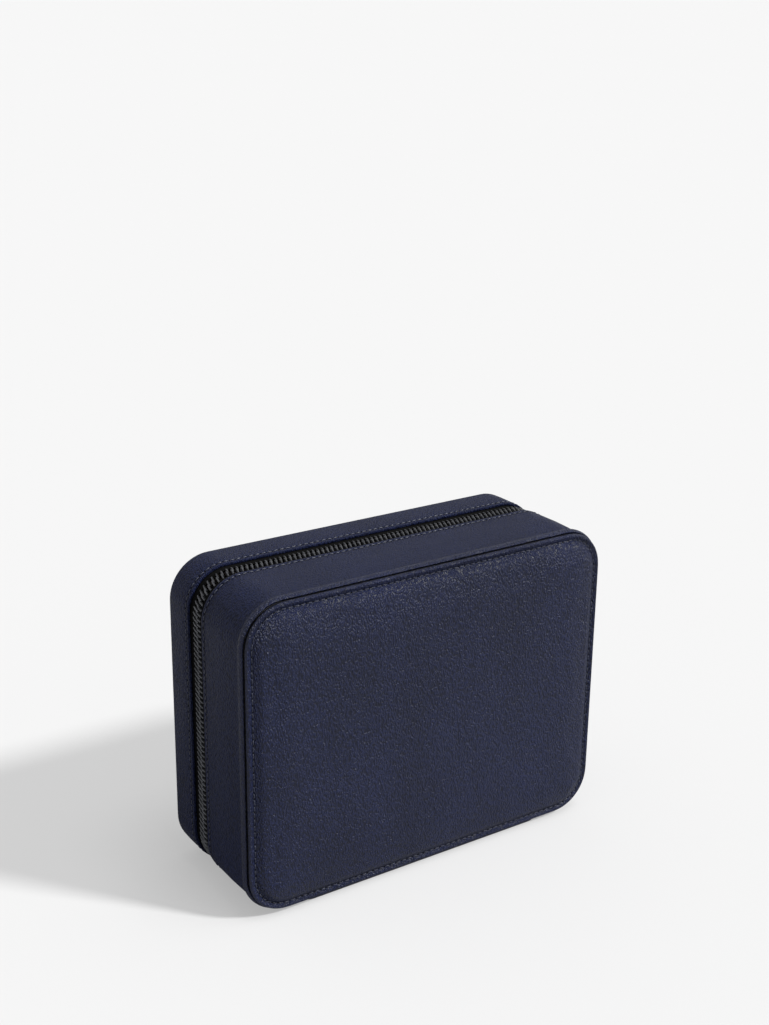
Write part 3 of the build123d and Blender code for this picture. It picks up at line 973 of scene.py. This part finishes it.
cover_cad(tape_weave, "front_tape", "back_tape")
cover_cad(gunmetal, "slider", "pull")

# ---------------------------------------------------------------------------------------
# Back panel: a flat piece of the same hide glued to the back board. It lies just under
# the turned edge of the back band, which is stitched down over it.
# ---------------------------------------------------------------------------------------
cover_cad(band_hide_painted_lighter, "back_panel")

# ---------------------------------------------------------------------------------------
# Spine strip: a smooth strip of hide along the bottom that joins the two halves. It is
# skived thin at its edges, glued on, and bends along one line as the case opens.
# ---------------------------------------------------------------------------------------
strip_low, strip_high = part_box("spine_strip")


def flat_strip(name, low, high, corner, cuts, rounding):
    """A flat strip with rounded corners, cut across on both sides of the fold line."""
    strip = block(name, (low + high) / 2, high - low)
    bevel(strip, lambda middle, way: abs(way.z) > 0.9, corner, 5)
    finish_mode()
    round_rims(strip, rounding, 2)
    for step in range(-cuts, cuts + 1):
        cut(strip, (0.0, zip_middle + fold_step * step, 0.0), (0.0, 1.0, 0.0))
    finish_mode()
    return strip


fold_step = 0.5 * mm
spine_strip = flat_strip("spine_strip_hide", strip_low, strip_high, 6.0 * mm, 10, 0.4 * mm)
dress(spine_strip, None, "outer_leather", band_hide_painted_lighter, "spine_strip", smooth=60.0)
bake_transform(spine_strip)

# ---------------------------------------------------------------------------------------
# Boards, fleece and side boards: grey board and thin fleece between hide and lining. They
# show only as edges in the groove and behind the zip, and are glued up in layers.
# ---------------------------------------------------------------------------------------
grey_board = speckled("grey_board", 500.0, 4.0, (0.26, 0.24, 0.20), (0.40, 0.37, 0.31), 0.9)[0]
# Front and side boards painted near-black: painted shade in the groove and behind the zip.
groove_painted_shade = speckled("groove_painted_shade", 500.0, 3.0, grey(0.002), grey(0.006), 0.9, 0.1)[0]
fleece, fleece_tree, fleece_shader, fleece_fuzz = speckled(
    "fleece", 900.0, 4.0, (0.02, 0.02, 0.022), (0.045, 0.045, 0.05), 1.0
)
bump(fleece_tree, fleece_shader, fleece_fuzz, 0.3 * mm)
cover_cad(groove_painted_shade, "front_board", "front_side_board", "back_side_board")
cover_cad(grey_board, "back_board")
cover_cad(fleece, "front_fleece", "back_fleece")

# ---------------------------------------------------------------------------------------
# Linings: warm grey microsuede glued into each half, up the walls and across the floor,
# with a soft turn where wall meets floor.
# ---------------------------------------------------------------------------------------
def brushed_suede(name, dark, light, scale=1.0):
    """Microsuede: a fine nap, with slightly darker and paler brushed patches."""
    material, tree, shader = new_finish(name)
    space = object_space(tree)
    patches = noise(tree, space, 26.0 * scale, 3.0, 0.6)
    nap = noise(tree, space, 1500.0, 2.0, 0.7)
    base = ramp(tree, patches, 0.32, 0.68, dark, light)
    flecks = ramp(tree, nap, 0.3, 0.7, grey(0.86), grey(1.0))
    tinted(tree, shader, base, flecks)
    bump(tree, shader, nap, 0.12 * mm)
    shader.inputs["Roughness"].default_value = 0.95
    shader.inputs["Specular IOR Level"].default_value = 0.15
    shader.inputs["Sheen Weight"].default_value = 0.35
    shader.inputs["Sheen Roughness"].default_value = 0.45
    return material


suede = brushed_suede("suede", (0.33, 0.29, 0.25), (0.42, 0.375, 0.325))
pad_suede = brushed_suede("pad_suede", (0.36, 0.32, 0.275), (0.46, 0.41, 0.355), 1.6)


def lining_tray(name, node, opens_to, body):
    """A tray of lining in the outline of its node, with a rounded floor edge."""
    low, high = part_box(node)
    inset = case_width / 2 - high.x
    tray = outline_block(name, low.y, high.y, inset)
    pick(tray, "FACE", lambda middle, normal: normal.y * opens_to > 0.9)
    bpy.ops.mesh.delete(type="FACE")
    floor_side = low.y if opens_to > 0 else high.y
    bevel(tray, lambda middle, way: abs(middle.y - floor_side) < touch, 2.5 * mm, 4)
    finish_mode()
    thicken(tray, 1.0 * mm, 0.3 * mm, 2)
    dress(tray, body, "suede_lining", suede, node, smooth=50.0)


lining_tray("front_lining_suede", "front_lining", 1.0, "front_half")
lining_tray("back_lining_suede", "back_lining", -1.0, "back_half")

hinge_low, hinge_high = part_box("hinge_lining")
hinge_lining = flat_strip(
    "hinge_lining_suede", hinge_low, hinge_high, 2.0 * mm, 11, 0.2 * mm
)
dress(hinge_lining, None, "suede_lining", suede, "hinge_lining", smooth=60.0)
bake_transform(hinge_lining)

# ---------------------------------------------------------------------------------------
# Dividers: thin boards wrapped in microsuede, with a soft turn at every edge. They stand
# on the floor of the deep half and are glued in.
# ---------------------------------------------------------------------------------------
def wrapped_board(node):
    """A board in its node's box with soft rims, cut up so that its sides shade evenly."""
    low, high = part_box(node)
    size = high - low
    piece = block(f"{node}_suede", (low + high) / 2, size)
    long_axis = 0 if size.x > size.z else 2
    for axis, count in ((long_axis, 14), (1, 4)):
        for k in range(1, count):
            place, way = [0.0, 0.0, 0.0], [0.0, 0.0, 0.0]
            place[axis] = low[axis] + size[axis] * k / count
            way[axis] = 1.0
            cut(piece, place, way)
    finish_mode()
    round_rims(piece, 0.8 * mm, 3)
    dress(piece, "front_half", "suede_lining", suede, node, smooth=60.0)


for board_name in ("divider_long", "divider_left_1", "divider_left_2", "divider_right"):
    wrapped_board(board_name)

# ---------------------------------------------------------------------------------------
# Ring rolls: five foam rolls side by side, each wrapped in microsuede and closed at its
# ends. Rings are pushed down between them.
# ---------------------------------------------------------------------------------------
roll_low, roll_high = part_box("ring_roll_1")
roll_size = roll_high - roll_low
roll = block(
    "ring_roll",
    (roll_low + roll_high) / 2,
    (roll_size.x - 2.0 * mm, roll_size.y - 1.0 * mm, roll_size.z - 0.8 * mm),
)
roll_top, roll_foot = roll_low.y + 5.0 * mm, roll_low.y + 2.0 * mm
bevel(roll, lambda middle, way: abs(way.x) > 0.9 and middle.y > roll_top, 5.2 * mm, 6)
bevel(roll, lambda middle, way: abs(way.x) > 0.9 and middle.y < roll_foot, 1.5 * mm, 2)
bevel(roll, lambda middle, way: abs(way.x) < 0.1, 2.0 * mm, 3)
finish_mode()
grain = roll.modifiers.new("grain", "REMESH")
grain.mode = "VOXEL"
grain.voxel_size = 1.6 * mm
apply_all(roll)
swell(
    roll,
    lambda place: 1.0 if place.y < roll_low.y + 2.5 * mm else 0.0,
    0.5 * mm,
    pressure=4.0,
)
soften(roll)
for number in range(1, 6):
    node_low, node_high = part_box(f"ring_roll_{number}")
    twin = roll.copy()
    twin.data = roll.data.copy()
    scene.collection.objects.link(twin)
    twin.name = f"ring_roll_{number}_suede"
    twin.data.transform(Matrix.Translation(node_low - roll_low))
    dress(twin, "front_half", "suede_lining", pad_suede, f"ring_roll_{number}", smooth=70.0)
bpy.data.objects.remove(roll)

# ---------------------------------------------------------------------------------------
# Earring bar: a bar wrapped in smooth leather, punched with pairs of holes for posts, on
# two legs that are glued to the floor of the deep half.
# ---------------------------------------------------------------------------------------
def smooth_leather(name, dark, light, roughness):
    """Fine plain leather: faint pores and a soft shine."""
    material, tree, shader = new_finish(name)
    space = object_space(tree)
    cloud = noise(tree, space, 60.0, 4.0, 0.6)
    pores = noise(tree, space, 1700.0, 2.0, 0.6)
    tree.links.new(ramp(tree, cloud, 0.3, 0.7, dark, light), shader.inputs["Base Color"])
    bump(tree, shader, pores, 0.06 * mm)
    tree.links.new(
        ramp(tree, pores, 0.3, 0.7, grey(roughness - 0.05), grey(roughness + 0.08)),
        shader.inputs["Roughness"],
    )
    shader.inputs["Specular IOR Level"].default_value = 0.35
    return material


strap_hide = smooth_leather("strap_hide", (0.27, 0.235, 0.20), (0.34, 0.30, 0.255), 0.5)
cover_cad(strap_hide, "earring_bar")

# ---------------------------------------------------------------------------------------
# Necklace pad: a thin foam pad under microsuede on the floor of the shallow half. Its
# edge is rounded and it swells slightly in the middle.
# ---------------------------------------------------------------------------------------
pad_low, pad_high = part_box("necklace_pad")
pad_inset = case_width / 2 - pad_high.x
pad_profile = [
    (0.0, -2.6 * mm),
    (0.25 * mm, -1.7 * mm),
    (0.7 * mm, -1.0 * mm),
    (1.4 * mm, -0.5 * mm),
    (2.4 * mm, -0.2 * mm),
    (4.0 * mm, -0.06 * mm),
    (7.0 * mm, 0.0),
    (12.0 * mm, 0.0),
]
necklace_pad = padded_face("necklace_pad_suede", pad_inset, pad_low.y, pad_profile)
face_forward(necklace_pad)
swell(
    necklace_pad,
    lambda place: 1.0 if ring_depth(place, pad_inset) < 0.5 * mm else 0.0,
    0.35 * mm,
    pressure=1.5,
)
soften(necklace_pad)
close_back(necklace_pad, [(1.2 * mm, 0.0)])
face_forward(necklace_pad)
dress(necklace_pad, "back_half", "suede_lining", pad_suede, "necklace_pad", smooth=70.0)

# ---------------------------------------------------------------------------------------
# Chain pocket: a panel of microsuede across the low part of the shallow half, sewn in at
# its sides and bottom and gathered onto a ribbed elastic along its mouth.
# ---------------------------------------------------------------------------------------
pocket_low, pocket_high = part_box("chain_pocket")
pocket_size = pocket_high - pocket_low
pocket_cloth = 0.8 * mm
gathers = 46
gather_depth = 0.55 * mm
slump_depth = 0.8 * mm
side_reach = 14.0 * mm
foot_reach = 16.0 * mm
finish_mode()
bpy.ops.mesh.primitive_grid_add(x_subdivisions=gathers * 6, y_subdivisions=44, size=2.0)
chain_pocket = bpy.context.object
chain_pocket.name = "chain_pocket_suede"
pocket_radius = corner_radius - (case_width / 2 - pocket_high.x)
pocket_seed = random.Random(7)
gather_lean = [pocket_seed.uniform(-0.9, 0.9) for k in range(gathers + 2)]
gather_size = [pocket_seed.uniform(0.55, 1.0) for k in range(gathers + 2)]
gather_fall = [pocket_seed.uniform(0.35, 0.9) for k in range(gathers + 2)]
for vert in chain_pocket.data.vertices:
    across = (vert.co.x + 1.0) / 2.0
    up = (vert.co.y + 1.0) / 2.0
    half_width = pocket_size.x / 2
    x = (across - 0.5) * pocket_size.x
    z = pocket_low.z + up * pocket_size.z
    over_low = pocket_low.z + pocket_radius - z
    if over_low > 0:
        reach_x = half_width - pocket_radius + math.sqrt(max(pocket_radius**2 - over_low**2, 0.0))
        x = x * reach_x / half_width
        half_width = reach_x
    side = min(half_width - abs(x), side_reach) / side_reach
    foot = min(z - pocket_low.z, foot_reach) / foot_reach
    full = math.sin(math.pi / 2 * side) ** 0.55 * math.sin(math.pi / 2 * foot) ** 0.55
    fold = across * gathers
    index = int(min(fold, gathers - 1e-6))
    fall = gather_fall[index]
    wave = math.cos(2 * math.pi * (fold + 0.12 * gather_lean[index] * (1 - up)))
    crease = max(0.0, up - (1 - fall)) / fall
    depth = gather_depth * gather_size[index] * wave * crease**1.2 * min(1.0, 4 * side)
    slump = slump_depth * math.sin(3.1 * x / half_width + 0.6) * math.sin(math.pi * up)
    front = pocket_low.y + 0.8 * mm
    seam = pocket_high.y - 1.2 * mm
    y = seam - (seam - front) * full + depth
    vert.co = (x, y + slump * full, z)
face_forward(chain_pocket)
thicken(chain_pocket, pocket_cloth, 0.2 * mm, 1)
dress(chain_pocket, "back_half", "suede_lining", suede, "chain_pocket", smooth=70.0)

elastic_weave = woven(
    "elastic_weave", "Z", 260.0, 0.0, (0.22, 0.195, 0.17), (0.33, 0.29, 0.25), 0.25 * mm, 0.8
)
elastic_low, elastic_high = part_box("pocket_elastic")
elastic_size = elastic_high - elastic_low
elastic_middle = (elastic_low + elastic_high) / 2
ribs_across = 150
elastic = block("pocket_elastic_band", elastic_middle, elastic_size)
for k in range(1, ribs_across):
    cut(elastic, (elastic_low.x + elastic_size.x * k / ribs_across, 0.0, 0.0), (1.0, 0.0, 0.0))
finish_mode()
for vert in elastic.data.vertices:
    turns = (vert.co.x - elastic_low.x) / elastic_size.x * ribs_across
    pinch = 0.16 * mm * math.cos(math.pi * turns)
    vert.co.y += pinch if vert.co.y < elastic_middle.y else -pinch
round_rims(elastic, 0.5 * mm, 2, 60.0)
dress(elastic, "back_half", "elastic", elastic_weave, "pocket_elastic")

# ---------------------------------------------------------------------------------------
# Necklace straps: four short leather straps with edge paint, hinged at the top and held
# down at the free end by a press stud with a domed cap.
# ---------------------------------------------------------------------------------------
edge_paint = smooth_leather("edge_paint", (0.10, 0.085, 0.07), (0.13, 0.11, 0.092), 0.35)
snap_steel = worn_metal(
    "snap_steel", 420.0, (0.30, 0.30, 0.31), (0.40, 0.40, 0.42), 0.18, 0.30, 1.0
)


def strap_piece(node, body):
    """A strap in its node's box, with a rounded free end, soft rims and painted edges."""
    low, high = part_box(node)
    middle_z = (low.z + high.z) / 2
    strap = block(f"{node}_leather", (low + high) / 2, high - low)
    bevel(
        strap,
        lambda middle, way: abs(way.y) > 0.9 and middle.z < middle_z,
        0.48 * (high.x - low.x),
        8,
    )
    finish_mode()
    round_rims(strap, 0.3 * mm, 2)
    strap.data.materials.append(strap_hide)
    strap.data.materials.append(edge_paint)
    for side in strap.data.polygons:
        side.material_index = 1 if abs(side.normal.y) < 0.5 else 0
    settle(strap, body, "strap_leather", node)


def snap_dome(node, body):
    """The domed cap of a press stud, in its node's box."""
    low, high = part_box(node)
    radius = (high.x - low.x) / 2
    middle = (low + high) / 2
    finish_mode()
    bpy.ops.mesh.primitive_uv_sphere_add(
        segments=32, ring_count=16, radius=radius, rotation=(math.pi / 2, 0.0, 0.0)
    )
    cap = bpy.context.object
    cap.name = f"{node}_dome"
    bpy.ops.object.transform_apply(location=True, rotation=True, scale=True)
    cut(cap, (0.0, 0.0, 0.0), (0.0, 1.0, 0.0), clear_outer=True, use_fill=True)
    pick(cap, "VERT", lambda place, normal: True)
    squash = (1.0, (high.y - low.y) / radius, 1.0)
    bpy.ops.transform.resize(value=squash, center_override=(0.0, 0.0, 0.0))
    bpy.ops.transform.translate(value=(middle.x, high.y, middle.z))
    finish_mode()
    dress(cap, body, "snap_metal", snap_steel, node, smooth=50.0)


for number in range(1, 5):
    strap_piece(f"necklace_strap_{number}", f"strap_{number}")
    snap_dome(f"snap_cap_{number}", f"strap_{number}")
cover_cad(snap_steel, "snap_studs", *[f"snap_socket_{number}" for number in range(1, 5)])
cover_cad(strap_hide, "strap_roots")
